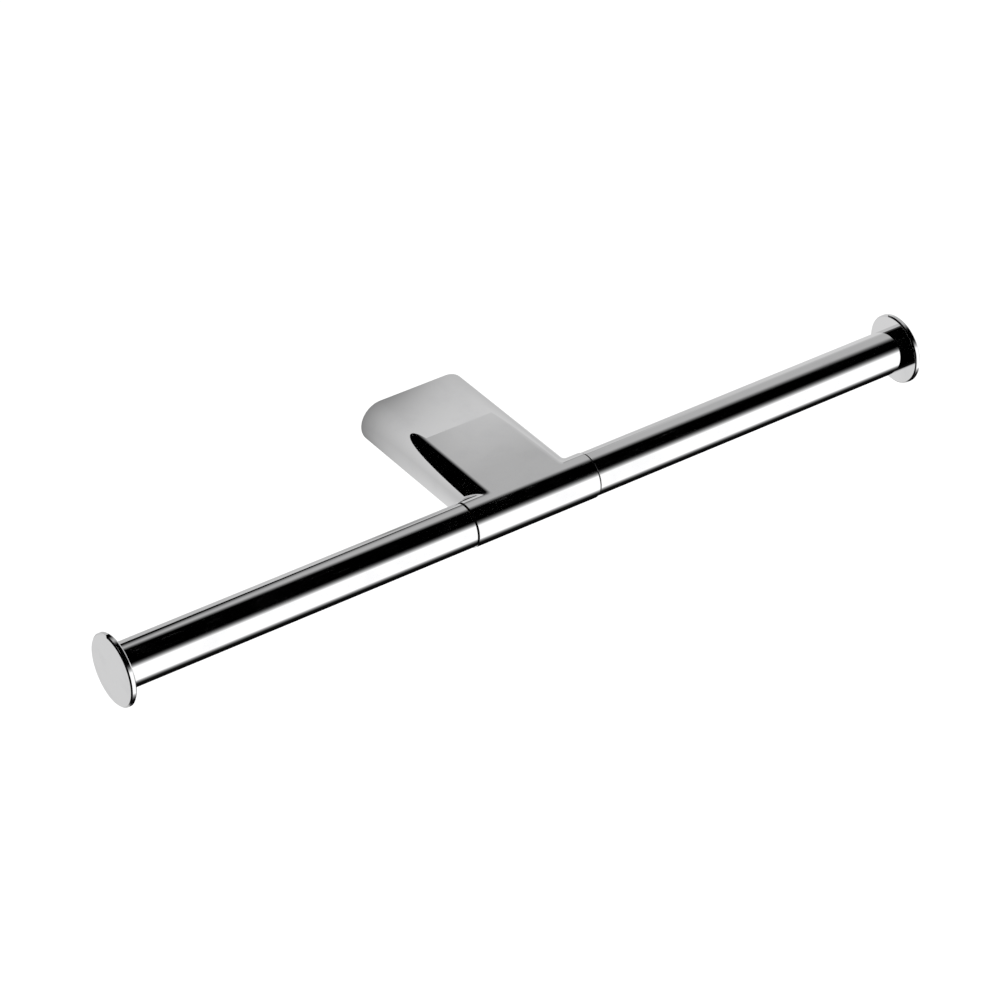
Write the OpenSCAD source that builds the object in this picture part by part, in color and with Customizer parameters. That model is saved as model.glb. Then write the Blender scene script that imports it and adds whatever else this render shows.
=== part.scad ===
// Wall-mounted double toilet roll holder: a flat bracket carries a short barrel,
// and one tubular arm is screwed to each end of the barrel.
// The wall is the plane y = 0, the front faces -Y and the arms lie along X.

/* [Arms] */
// Outside diameter of each arm tube
arm_d = 16; // [14:0.5:20]
// Wall thickness of each arm tube
arm_wall = 1; // [0.8:0.1:1.5]
// Length of each arm tube, from its seam to its end disc
arm_length = 136.4; // [110:0.2:170]
// Width of the shadow groove that sets each arm off from the barrel
seam_groove_w = 0.3; // [0.2:0.05:0.6]
// Depth of the shadow groove
seam_groove_depth = 0.6; // [0.5:0.05:0.7]
// Chamfer between the shadow groove and the tube's outside
arm_chamfer = 0.15; // [0.1:0.05:0.4]

/* [End discs] */
// Diameter of each end disc
disc_d = 25.8; // [22:0.2:34]
// Thickness of each end disc
disc_t = 2.2; // [1.6:0.1:4]
// Chamfer round both rims of each end disc
disc_chamfer = 0.25; // [0.1:0.05:0.5]
// Length of the spigot that holds each disc in its tube
spigot_length = 12; // [8:0.5:20]
// Width of the adhesive groove round each spigot
groove_w = 2; // [1:0.5:3]
// Depth of the adhesive groove round each spigot
groove_depth = 0.4; // [0.2:0.1:1]
// Bore that lightens each spigot
spigot_bore_d = 7; // [4:0.5:9]

/* [Bracket] */
// Distance from the wall to the axis of the arms
reach = 69.5; // [60:0.5:95]
// Width of the flat arm
bracket_w = 44; // [42:0.5:48]
// How far the barrel stands proud of the arm tubes
barrel_step = 0.3; // [0.1:0.05:0.8]
// Length of the barrel, from seam to seam
barrel_length = 50.8; // [50:0.2:64]
// Chamfer round both ends of the barrel
barrel_chamfer = 0.25; // [0.1:0.05:0.5]
// Radius of the blend between the flat arm and the barrel
blend_r = 1.5; // [1:0.1:3]

/* [Bracket hollow] */
// Wall thickness round the socket that covers the wall plate
socket_wall = 2.2; // [1.8:0.1:2.6]
// Depth of the socket
socket_depth = 16; // [14:0.5:20]
// Wall thickness round the core beyond the socket
core_wall = 3.4; // [3:0.1:4.5]
// Distance from the wall to the closed end of the core
core_depth = 50; // [30:1:50]
// Width of the pad that carries the set screw
pad_w = 10; // [9:0.5:11]
// Height of the pad over the socket's floor
pad_h = 1.6; // [1.2:0.1:2]

/* [Wall plate] */
// Thickness of the wall plate
plate_t = 9; // [8:0.5:12]
// Gap between the plate and the socket round it
plate_gap = 0.3; // [0.2:0.05:0.4]
// Distance between the two wall screws
screw_spacing = 24; // [23:0.5:26]
// Diameter of each screw hole
screw_hole_d = 4.5; // [4:0.1:5]
// Diameter of the countersink for each screw head
screw_head_d = 8.6; // [7:0.2:9]
// Depth of the straight seat over each countersink
head_seat_depth = 0.8; // [0.4:0.1:1.5]

/* [Fasteners] */
// Thread diameter of the studs that join arms and barrel
stud_d = 8; // [6:1:8]
// Length of each stud
stud_length = 28; // [24:1:32]
// Width across the flats of the hexagon socket in each stud
stud_key = 4; // [2.5:0.5:4]
// Depth of the hexagon socket in each stud
stud_key_depth = 4.5; // [3:0.5:6]
// Length of the threaded insert in each tube
insert_length = 18; // [17:0.5:24]
// How far each insert stays back from the seam
insert_recess = 0.3; // [0.2:0.1:0.6]
// Thread diameter of the set screw
set_screw_d = 5; // [4:1:5]
// Length of the set screw
set_screw_length = 5; // [4.5:0.1:5.2]
// Distance from the wall to the set screw
set_screw_inset = 5; // [4.5:0.1:5.5]
// Width across the flats of the hexagon socket in the set screw
set_screw_key = 2.5; // [2:0.5:2.5]
// Depth of the hexagon socket in the set screw
set_screw_key_depth = 2.2; // [1.5:0.1:2.4]

/* [Clearances] */
// Radial gap between a stud or set screw and its thread
thread_gap = 0.05; // [0.03:0.01:0.1]
// Radial gap between a tube and what is pressed into it
press_gap = 0.04; // [0.02:0.01:0.08]
// Free length past the end of each stud
stud_end_gap = 2; // [1:0.5:3]
// How far the set screw lies below the bracket's surface
set_screw_sink = 0.2; // [0.1:0.05:0.5]

/* [Hidden] */

chrome = [0.80, 0.81, 0.83];
bright_steel = [0.62, 0.64, 0.66];
dark_steel = [0.25, 0.26, 0.28];
brass = [0.76, 0.62, 0.30];

// Facets of a round shape, and of the blend's rings and arcs
round_fn = 128;
blend_rings = 24;
blend_arc_steps = 6;
// The blend starts this far under the surfaces that it joins
blend_sink = 0.12;
// Cuts run this far past the faces that they open
overrun = 1;

arm_r = arm_d / 2;
bore_r = arm_r - arm_wall;
plug_r = bore_r - press_gap;
barrel_r = arm_r + barrel_step;
bracket_h = 2 * barrel_r;
side_x = bracket_w / 2 - barrel_r;
seam_x = barrel_length / 2;
disc_x = seam_x + arm_length;

socket_w = bracket_w - 2 * socket_wall;
socket_h = bracket_h - 2 * socket_wall;
core_w = bracket_w - 2 * core_wall;
core_h = bracket_h - 2 * core_wall;

plate_w = socket_w - 2 * plate_gap;
plate_h = socket_h - 2 * plate_gap;
slot_w = pad_w + 2 * plate_gap;
slot_depth = pad_h;
slot_floor_z = slot_depth - plate_h / 2;

stud_r = stud_d / 2;
stud_hole_depth = stud_length / 2 + stud_end_gap;
thread_lead = stud_d / 16;

set_screw_r = set_screw_d / 2;
set_screw_z = set_screw_sink - barrel_r;
set_screw_tip_r = set_screw_d / 10;
set_screw_tip_z = set_screw_z + set_screw_length;

stud_body_r = stud_r - thread_gap;
set_body_r = set_screw_r - thread_gap;
key_points = 6;
flats_to_points = 1 / cos(180 / key_points);

$fn = round_fn;

// Outline with parallel flats and fully round sides
module stadium(w, h) {
    square([w - h, h], center = true);
    for (side = [-1, 1])
        translate([side * (w - h) / 2, 0])
            circle(d = h);
}

// Stadium bar from the wall plane to the given depth in front of it
module stadium_bar(w, h, depth) {
    rotate([90, 0, 0])
        linear_extrude(depth)
            stadium(w, h);
}

// Turns a shape made along Z so that it runs along the arms
module along_arms() {
    translate([0, -reach, 0])
        rotate([0, 90, 0])
            children();
}

module on_left() {
    mirror([1, 0, 0])
        children();
}

// Hexagon bar, sized across its flats
module hexagon(flats, length) {
    cylinder(d = flats * flats_to_points, h = length, $fn = key_points);
}

// Point of the rolling-ball blend: turn runs round the barrel from its lowest
// line to its highest, and share runs from the flat arm's side to the barrel
function blend_point(turn, share) =
    let (
        ball_r = barrel_r + blend_r - blend_sink,
        ball = [side_x + ball_r * cos(turn), ball_r * cos(turn), ball_r * sin(turn)],
        to_side = [-cos(turn), 0, -sin(turn)],
        to_barrel = [0, -cos(turn), -sin(turn)],
        sweep = acos(to_side * to_barrel),
        toward = sin((1 - share) * sweep) * to_side + sin(share * sweep) * to_barrel
    )
    ball + blend_r * toward / sin(sweep);

// Point under the crease, where both surfaces hide it
function blend_root(turn) =
    let (root_r = barrel_r - blend_r)
    [side_x + root_r * cos(turn), root_r * cos(turn), root_r * sin(turn)];

// Concave blend on the right of the flat arm, closed under both surfaces
module side_blend() {
    turn_step = 180 / blend_rings;
    ring_size = blend_arc_steps + 2;
    rings = [
        for (ring = [0 : blend_rings - 2])
            let (turn = (ring + 1) * turn_step - 90)
            concat(
                [blend_root(turn)],
                [for (step = [0 : blend_arc_steps]) blend_point(turn, step / blend_arc_steps)]
            )
    ];
    points = [for (ring = rings) each ring];
    last = (len(rings) - 1) * ring_size;
    sides = [
        for (ring = [0 : len(rings) - 2], k = [0 : ring_size - 1])
            let (
                a = ring * ring_size + k,
                b = ring * ring_size + (k + 1) % ring_size
            )
            each [[a, b, b + ring_size], [a, b + ring_size, a + ring_size]]
    ];
    low_end = [for (k = [1 : ring_size - 2]) [0, k + 1, k]];
    high_end = [for (k = [1 : ring_size - 2]) [last, last + k, last + k + 1]];
    translate([0, -reach, 0])
        polyhedron(points, concat(sides, low_end, high_end));
}

// Barrel with a chamfer round each end, still without its stud holes
module barrel() {
    along_arms()
        rotate_extrude()
            polygon([
                [0, -seam_x],
                [barrel_r - barrel_chamfer, -seam_x],
                [barrel_r, barrel_chamfer - seam_x],
                [barrel_r, seam_x - barrel_chamfer],
                [barrel_r - barrel_chamfer, seam_x],
                [0, seam_x]
            ]);
}

// Hollow of the flat arm: a socket with the set screw's pad, then a core
module bracket_hollow() {
    difference() {
        translate([0, overrun, 0])
            stadium_bar(socket_w, socket_h, socket_depth + overrun);
        translate([-pad_w / 2, -socket_depth - overrun, -socket_h])
            cube([pad_w, socket_depth + 3 * overrun, socket_h / 2 + pad_h]);
    }
    translate([0, overrun - socket_depth, 0])
        stadium_bar(core_w, core_h, core_depth - socket_depth + overrun);
}

// Tapped hole in the right end of the barrel, with a lead-in for the stud
module stud_hole() {
    along_arms() {
        translate([0, 0, seam_x - stud_hole_depth])
            cylinder(r = stud_r, h = stud_hole_depth + overrun);
        translate([0, 0, seam_x - thread_lead])
            cylinder(r1 = stud_r, r2 = stud_r + thread_lead, h = thread_lead);
    }
}

module bracket_body() {
    color(chrome)
        difference() {
            union() {
                stadium_bar(bracket_w, bracket_h, reach);
                barrel();
                side_blend();
                on_left() side_blend();
            }
            bracket_hollow();
            stud_hole();
            on_left() stud_hole();
            translate([0, -set_screw_inset, -bracket_h])
                cylinder(r = set_screw_r, h = bracket_h);
        }
}

// Countersunk hole for one wall screw, with its head towards the front
module wall_screw_hole() {
    sink_depth = (screw_head_d - screw_hole_d) / 2;
    rotate([90, 0, 0]) {
        translate([0, 0, -overrun])
            cylinder(d = screw_hole_d, h = plate_t + 2 * overrun);
        translate([0, 0, plate_t - head_seat_depth - sink_depth])
            cylinder(d1 = screw_hole_d, d2 = screw_head_d, h = sink_depth);
        translate([0, 0, plate_t - head_seat_depth])
            cylinder(d = screw_head_d, h = head_seat_depth + overrun);
    }
}

module wall_plate() {
    seat_r = set_screw_r + plate_gap;
    color(bright_steel)
        difference() {
            stadium_bar(plate_w, plate_h, plate_t);
            for (side = [-1, 1])
                translate([side * screw_spacing / 2, 0, 0])
                    wall_screw_hole();
            translate([-slot_w / 2, -plate_t - overrun, slot_floor_z - plate_h])
                cube([slot_w, plate_t + 2 * overrun, plate_h]);
            translate([0, -set_screw_inset, slot_floor_z])
                cylinder(r1 = seat_r, r2 = 0, h = seat_r);
        }
}

// Grub screw with a cone point, driven up from below
module set_screw() {
    tip_h = set_body_r - set_screw_tip_r;
    color(dark_steel)
        translate([0, -set_screw_inset, set_screw_z])
            difference() {
                union() {
                    cylinder(r = set_body_r, h = set_screw_length - tip_h);
                    translate([0, 0, set_screw_length - tip_h])
                        cylinder(r1 = set_body_r, r2 = set_screw_tip_r, h = tip_h);
                }
                translate([0, 0, -overrun])
                    hexagon(set_screw_key, set_screw_key_depth + overrun);
            }
}

// Headless stud, centred on the right seam, with its key socket outwards
module arm_stud() {
    half = stud_length / 2;
    color(dark_steel)
        along_arms()
            translate([0, 0, seam_x])
                difference() {
                    rotate_extrude()
                        polygon([
                            [0, -half],
                            [stud_body_r - thread_lead, -half],
                            [stud_body_r, thread_lead - half],
                            [stud_body_r, half - thread_lead],
                            [stud_body_r - thread_lead, half],
                            [0, half]
                        ]);
                    translate([0, 0, half - stud_key_depth])
                        hexagon(stud_key, stud_key_depth + overrun);
                }
}

// Tapped plug pressed into the seam end of the right tube
module tube_insert() {
    color(brass)
        along_arms()
            translate([0, 0, seam_x + insert_recess])
                difference() {
                    cylinder(r = plug_r, h = insert_length);
                    translate([0, 0, -overrun])
                        cylinder(r = stud_r, h = insert_length + 2 * overrun);
                }
}

// Right arm's tube, turned down at its seam so that a fine dark groove shows there
module arm_tube() {
    color(chrome)
        along_arms()
            translate([0, 0, seam_x])
                rotate_extrude()
                    polygon([
                        [bore_r, 0],
                        [arm_r - seam_groove_depth, 0],
                        [arm_r - seam_groove_depth, seam_groove_w],
                        [arm_r - arm_chamfer, seam_groove_w],
                        [arm_r, seam_groove_w + arm_chamfer],
                        [arm_r, arm_length],
                        [bore_r, arm_length]
                    ]);
}

// Disc that closes the right arm, with a grooved and bored spigot in the tube
module end_disc() {
    disc_r = disc_d / 2;
    groove_middle = -spigot_length / 2;
    nose = arm_wall / 2;
    color(chrome)
        along_arms()
            translate([0, 0, disc_x])
                rotate_extrude()
                    polygon([
                        [0, disc_t],
                        [disc_r - disc_chamfer, disc_t],
                        [disc_r, disc_t - disc_chamfer],
                        [disc_r, disc_chamfer],
                        [disc_r - disc_chamfer, 0],
                        [plug_r, 0],
                        [plug_r, groove_middle + groove_w / 2],
                        [plug_r - groove_depth, groove_middle + groove_w / 2],
                        [plug_r - groove_depth, groove_middle - groove_w / 2],
                        [plug_r, groove_middle - groove_w / 2],
                        [plug_r, nose - spigot_length],
                        [plug_r - nose, -spigot_length],
                        [spigot_bore_d / 2, -spigot_length],
                        [spigot_bore_d / 2, 0],
                        [0, 0]
                    ]);
}

bracket_body();
wall_plate();
set_screw();
on_left() arm_stud();  // left_arm_stud
arm_stud();  // right_arm_stud
on_left() tube_insert();  // left_tube_insert
tube_insert();  // right_tube_insert
on_left() arm_tube();  // left_arm_tube
arm_tube();  // right_arm_tube
on_left() end_disc();  // left_end_disc
end_disc();  // right_end_disc
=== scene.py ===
"""Looks, studio and camera of the wall-mounted double toilet roll holder.

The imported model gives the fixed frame. The bright pieces are modelled here again with finer
rounds and exact shading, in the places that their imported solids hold, and every finish is a
procedural material. Lengths are in metres: the wall is the plane y = 0, the front faces -Y,
the arms run along X and Z is up.
"""

import logging
import math
from dataclasses import dataclass
from enum import Enum
from typing import Callable

import bmesh
import bpy
from mathutils import Matrix, Vector


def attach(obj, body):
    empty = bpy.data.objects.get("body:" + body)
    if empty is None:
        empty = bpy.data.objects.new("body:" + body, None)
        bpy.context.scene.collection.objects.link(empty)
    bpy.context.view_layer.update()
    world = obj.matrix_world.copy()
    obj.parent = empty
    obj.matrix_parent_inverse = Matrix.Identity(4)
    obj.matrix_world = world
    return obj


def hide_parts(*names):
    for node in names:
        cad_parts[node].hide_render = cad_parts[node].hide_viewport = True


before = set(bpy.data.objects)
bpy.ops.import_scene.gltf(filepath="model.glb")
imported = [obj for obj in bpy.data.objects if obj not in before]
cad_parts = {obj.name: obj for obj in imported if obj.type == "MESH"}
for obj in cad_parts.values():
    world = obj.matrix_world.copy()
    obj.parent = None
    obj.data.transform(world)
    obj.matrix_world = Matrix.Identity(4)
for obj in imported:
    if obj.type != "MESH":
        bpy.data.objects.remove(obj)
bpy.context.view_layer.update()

LOG = logging.getLogger("roll_holder")
BODY = "root"
MM = 0.001
TINY = 1e-6
AXIS_Y = -69.5 * MM
SOFT_ANGLE = 28.0
THREAD_ANGLE = 24.0
# How far a cutter runs on past the face that it opens, and a cone past the end that it cuts.
OVERSHOOT = 1 * MM
CONE_PAST = 0.2 * MM
# Room between the crests of a thread and the blank round it.
CREST_ROOM = 0.02 * MM

Test = Callable[[Vector], bool]


class Slot(Enum):
    """The record's material slots."""

    CASTING = "chrome_casting"
    TUBE = "chrome_tube"
    DISC = "chrome_disc"
    PLATE = "plate_steel"
    FASTENER = "fastener_steel"
    INSERT = "insert_brass"


class Ends(Enum):
    """How a turned piece closes."""

    CAPPED = "a flat face on each end"
    LOOPED = "the outline runs back to its start"


# Mesh work


class Bench:
    """The moves that every piece is modelled with."""

    @staticmethod
    def clear() -> None:
        """Leaves edit mode and deselects everything."""
        active = bpy.context.view_layer.objects.active
        if active is not None and active.mode != "OBJECT":
            bpy.ops.object.mode_set(mode="OBJECT")
        bpy.ops.object.select_all(action="DESELECT")

    @staticmethod
    def pick(piece: bpy.types.Object) -> None:
        """Makes one object the only selected and active one.

        Args:
            piece: The object to work on.
        """
        Bench.clear()
        piece.select_set(True)
        bpy.context.view_layer.objects.active = piece

    @staticmethod
    def ring(
        name: str, centre: Vector, radius: float, sides: int, turn: Vector
    ) -> bpy.types.Object:
        """Adds a plain ring as a new object and stays in edit mode, with the ring selected.

        Args:
            name: Name of the new object.
            centre: Centre of the ring.
            radius: Radius of the ring.
            sides: Number of its vertices.
            turn: Euler angles that give the ring its plane.

        Returns:
            The new object, in edit mode.
        """
        Bench.clear()
        bpy.ops.mesh.primitive_circle_add(
            vertices=sides, radius=radius, location=centre, rotation=turn
        )
        piece = bpy.context.object
        piece.name = name
        piece.data.name = name
        bpy.ops.object.transform_apply()
        bpy.ops.object.mode_set(mode="EDIT")
        bpy.ops.mesh.select_mode(type="VERT")
        bpy.ops.mesh.select_all(action="SELECT")
        return piece

    @staticmethod
    def select(piece: bpy.types.Object, test: Test, within: bool = False) -> None:
        """Selects vertices by their place, in edit mode.

        Args:
            piece: The object in edit mode.
            test: Says whether a vertex at this place is wanted.
            within: Keeps only vertices that were selected before.
        """
        bpy.ops.mesh.select_mode(type="VERT")
        mesh = bmesh.from_edit_mesh(piece.data)
        for vert in mesh.verts:
            vert.select = (vert.select or not within) and test(vert.co)
        mesh.select_flush_mode()
        bmesh.update_edit_mesh(piece.data)

    @staticmethod
    def selected(piece: bpy.types.Object) -> set[int]:
        """Lists the selected vertices, in edit mode.

        Args:
            piece: The object in edit mode.

        Returns:
            Their numbers.
        """
        mesh = bmesh.from_edit_mesh(piece.data)
        mesh.verts.index_update()
        return {vert.index for vert in mesh.verts if vert.select}

    @staticmethod
    def select_again(piece: bpy.types.Object, numbers: set[int]) -> None:
        """Selects listed vertices and no others, in edit mode.

        Args:
            piece: The object in edit mode.
            numbers: The vertices' numbers.
        """
        mesh = bmesh.from_edit_mesh(piece.data)
        mesh.verts.index_update()
        for vert in mesh.verts:
            vert.select = vert.index in numbers
        mesh.select_flush_mode()
        bmesh.update_edit_mesh(piece.data)

    @staticmethod
    def select_faces(piece: bpy.types.Object, test: Test) -> None:
        """Selects faces by the place of their middle, in edit mode.

        Args:
            piece: The object in edit mode.
            test: Says whether a face with this middle is wanted.
        """
        bpy.ops.mesh.select_mode(type="FACE")
        bpy.ops.mesh.select_all(action="DESELECT")
        mesh = bmesh.from_edit_mesh(piece.data)
        for face in mesh.faces:
            face.select_set(test(face.calc_center_median()))
        bmesh.update_edit_mesh(piece.data)

    @staticmethod
    def select_edges(piece: bpy.types.Object, test: Test) -> None:
        """Selects edges whose two ends both pass a test, in edit mode.

        Args:
            piece: The object in edit mode.
            test: Says whether an end at this place is wanted.
        """
        bpy.ops.mesh.select_mode(type="EDGE")
        bpy.ops.mesh.select_all(action="DESELECT")
        mesh = bmesh.from_edit_mesh(piece.data)
        for edge in mesh.edges:
            edge.select_set(all(test(vert.co) for vert in edge.verts))
        bmesh.update_edit_mesh(piece.data)

    @staticmethod
    def merge_doubles() -> None:
        """Merges doubles all over the mesh, in edit mode."""
        bpy.ops.mesh.select_mode(type="VERT")
        bpy.ops.mesh.select_all(action="SELECT")
        bpy.ops.mesh.remove_doubles(threshold=TINY)

    @staticmethod
    def merge() -> None:
        """Merges doubles and turns all faces outwards, in edit mode."""
        Bench.merge_doubles()
        bpy.ops.mesh.normals_make_consistent(inside=False)

    @staticmethod
    def modify(piece: bpy.types.Object, kind: str, **settings: object) -> None:
        """Adds a modifier and applies it.

        Args:
            piece: The object that gets it.
            kind: Blender's name of the modifier's type.
            settings: Values of its properties.
        """
        Bench.pick(piece)
        modifier = piece.modifiers.new(kind.lower(), kind)
        for name, value in settings.items():
            setattr(modifier, name, value)
        bpy.ops.object.modifier_apply(modifier=modifier.name)

    @staticmethod
    def combine(piece: bpy.types.Object, tool: bpy.types.Object, operation: str) -> None:
        """Joins a tool solid to a piece, or cuts with it, and removes the tool.

        Args:
            piece: The solid that is kept.
            tool: The solid that is used up.
            operation: UNION, DIFFERENCE or INTERSECT.
        """
        Bench.modify(piece, "BOOLEAN", object=tool, operation=operation, solver="EXACT")
        bpy.data.objects.remove(tool)

    @staticmethod
    def place(piece: bpy.types.Object, turn: Vector, shift: Vector) -> None:
        """Turns and moves a finished mesh and leaves its object at the origin.

        Args:
            piece: The object to place.
            turn: Euler angles of the turn about the origin.
            shift: Move that follows the turn.
        """
        Bench.pick(piece)
        piece.rotation_euler = turn
        piece.location = shift
        bpy.ops.object.transform_apply()

    @staticmethod
    def half_turn_copy(piece: bpy.types.Object, name: str, axis_y: float) -> bpy.types.Object:
        """Copies a right piece to the left end, turned about the upright through the barrel.

        Args:
            piece: The right piece.
            name: Name of the left one.
            axis_y: Place of the upright in front of the wall.

        Returns:
            The left piece, with its own mesh.
        """
        copy = piece.copy()
        copy.data = piece.data.copy()
        copy.name = name
        copy.data.name = name
        bpy.context.scene.collection.objects.link(copy)
        Bench.place(copy, Vector((0, 0, math.pi)), Vector((0, 2 * axis_y, 0)))
        return copy

    @staticmethod
    def shade(piece: bpy.types.Object, angle: float = SOFT_ANGLE) -> None:
        """Smooths the rounds and keeps the flats exactly flat.

        Args:
            piece: The finished mesh.
            angle: Edges sharper than this many degrees stay sharp.
        """
        Bench.pick(piece)
        bpy.ops.object.shade_smooth_by_angle(angle=math.radians(angle))
        Bench.modify(piece, "WEIGHTED_NORMAL", mode="FACE_AREA", weight=50, keep_sharp=True)


@dataclass(frozen=True)
class Corner:
    """One corner of a turned piece's outline.

    Attributes:
        x: Place along the arms.
        r: Distance from their axis.
        ease: Radius that rounds the corner, or 0 for a sharp one.
    """

    x: float
    r: float
    ease: float = 0.0


@dataclass(frozen=True)
class Outline:
    """The section of a turned piece.

    Attributes:
        corners: Its corners in order.
        ends: How the piece closes.
        steps: Steps in each rounded corner.
    """

    corners: tuple[Corner, ...]
    ends: Ends
    steps: int = 4

    def eased(self) -> list[tuple[float, float]]:
        """Rounds the corners.

        Returns:
            The points of the section, as places along the arms and radii.
        """
        points: list[tuple[float, float]] = []
        count = len(self.corners)
        for index, corner in enumerate(self.corners):
            here = Vector((corner.x, corner.r))
            inner = 0 < index < count - 1 or self.ends is Ends.LOOPED
            if corner.ease == 0.0 or not inner:
                points.append(here[:])
                continue
            before = self.corners[index - 1]
            after = self.corners[(index + 1) % count]
            to_before = (Vector((before.x, before.r)) - here).normalized()
            to_after = (Vector((after.x, after.r)) - here).normalized()
            half = to_before.angle(to_after) / 2
            centre = here + (to_before + to_after).normalized() * corner.ease / math.sin(half)
            run = corner.ease / math.tan(half)
            first = (here + to_before * run - centre).normalized()
            last = (here + to_after * run - centre).normalized()
            for step in range(self.steps + 1):
                points.append((centre + first.slerp(last, step / self.steps) * corner.ease)[:])
        if self.ends is Ends.LOOPED:
            points.append(points[0])
        return points


@dataclass(frozen=True)
class Lathe:
    """Turns pieces on the axis of the arms, ring by ring.

    Attributes:
        axis_y: Place of the axis in front of the wall.
        sides: Facets round a turned piece.
    """

    axis_y: float = AXIS_Y
    sides: int = 160

    def turn(self, name: str, outline: Outline) -> bpy.types.Object:
        """Makes a turned piece.

        Args:
            name: Name of the piece.
            outline: Its section.

        Returns:
            The piece, in object mode.
        """
        points = outline.eased()
        first_x, first_r = points[0]
        centre = Vector((first_x, self.axis_y, 0))
        piece = Bench.ring(name, centre, first_r, self.sides, Vector((0, math.pi / 2, 0)))
        if outline.ends is Ends.CAPPED:
            bpy.ops.mesh.edge_face_add()
            Bench.select_edges(piece, lambda co: True)
        self.follow(points)
        if outline.ends is Ends.CAPPED:
            bpy.ops.mesh.edge_face_add()
        Bench.merge()
        Bench.clear()
        return piece

    def follow(self, points: list[tuple[float, float]]) -> None:
        """Carries the selected ring along a section: it is extruded and scaled at each step.

        Args:
            points: Places along the arms and radii, from the ring's own on.
        """
        for (x0, r0), (x1, r1) in zip(points, points[1:]):
            run = Vector((x1 - x0, 0, 0))
            scale = r1 / r0
            centre = Vector((x0, self.axis_y, 0)) + run
            bpy.ops.mesh.extrude_edges_move(TRANSFORM_OT_translate={"value": run})
            bpy.ops.transform.resize(value=(1, scale, scale), center_override=centre)


# Pieces


@dataclass(frozen=True)
class ArmTube:
    """One arm: a tube from its seam at the barrel to its end disc."""

    lathe: Lathe
    seam_x: float = 25.4 * MM
    length: float = 136.4 * MM
    radius: float = 8 * MM
    wall: float = 1 * MM
    groove_width: float = 0.3 * MM
    groove_depth: float = 0.6 * MM
    lip_chamfer: float = 0.15 * MM

    def build(self) -> bpy.types.Object:
        """Makes the tube.

        Returns:
            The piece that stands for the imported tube.
        """
        bore = self.radius - self.wall
        floor = self.radius - self.groove_depth
        lip_x = self.seam_x + self.groove_width
        end_x = self.seam_x + self.length
        outline = Outline(
            (
                Corner(self.seam_x, bore),
                Corner(self.seam_x, floor),
                Corner(lip_x, floor),
                Corner(lip_x, self.radius - self.lip_chamfer),
                Corner(lip_x + self.lip_chamfer, self.radius),
                Corner(end_x, self.radius),
                Corner(end_x, bore),
            ),
            Ends.LOOPED,
        )
        piece = self.lathe.turn("right_arm_tube_bright", outline)
        Bench.shade(piece)
        return piece


@dataclass(frozen=True)
class EndDisc:
    """The disc that keeps a roll on its arm, with the spigot that holds it in the tube."""

    lathe: Lathe
    face_x: float = 161.8 * MM
    radius: float = 12.9 * MM
    thickness: float = 2.2 * MM
    rim_chamfer: float = 0.5 * MM
    rim_ease: float = 0.07 * MM
    spigot_radius: float = 6.96 * MM
    spigot_length: float = 12 * MM
    groove_depth: float = 0.4 * MM
    groove_width: float = 2 * MM
    groove_ease: float = 0.1 * MM
    nose_ease: float = 0.5 * MM
    bore: float = 3.5 * MM

    def build(self) -> bpy.types.Object:
        """Makes the disc.

        Returns:
            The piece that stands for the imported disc.
        """
        inner = self.face_x
        outer = inner + self.thickness
        nose = inner - self.spigot_length
        middle = inner - self.spigot_length / 2
        near = middle + self.groove_width / 2
        far = middle - self.groove_width / 2
        floor = self.spigot_radius - self.groove_depth
        outline = Outline(
            (
                Corner(inner, self.bore),
                Corner(nose, self.bore),
                Corner(nose, self.spigot_radius, self.nose_ease),
                Corner(far, self.spigot_radius, self.groove_ease),
                Corner(far, floor),
                Corner(near, floor),
                Corner(near, self.spigot_radius, self.groove_ease),
                Corner(inner, self.spigot_radius),
                Corner(inner, self.radius - self.rim_chamfer, self.rim_ease),
                Corner(inner + self.rim_chamfer, self.radius, self.rim_ease),
                Corner(outer - self.rim_chamfer, self.radius, self.rim_ease),
                Corner(outer, self.radius - self.rim_chamfer, self.rim_ease),
                Corner(outer, self.radius / 2),
            ),
            Ends.CAPPED,
        )
        piece = self.lathe.turn("right_end_disc_bright", outline)
        Bench.shade(piece)
        return piece


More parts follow.
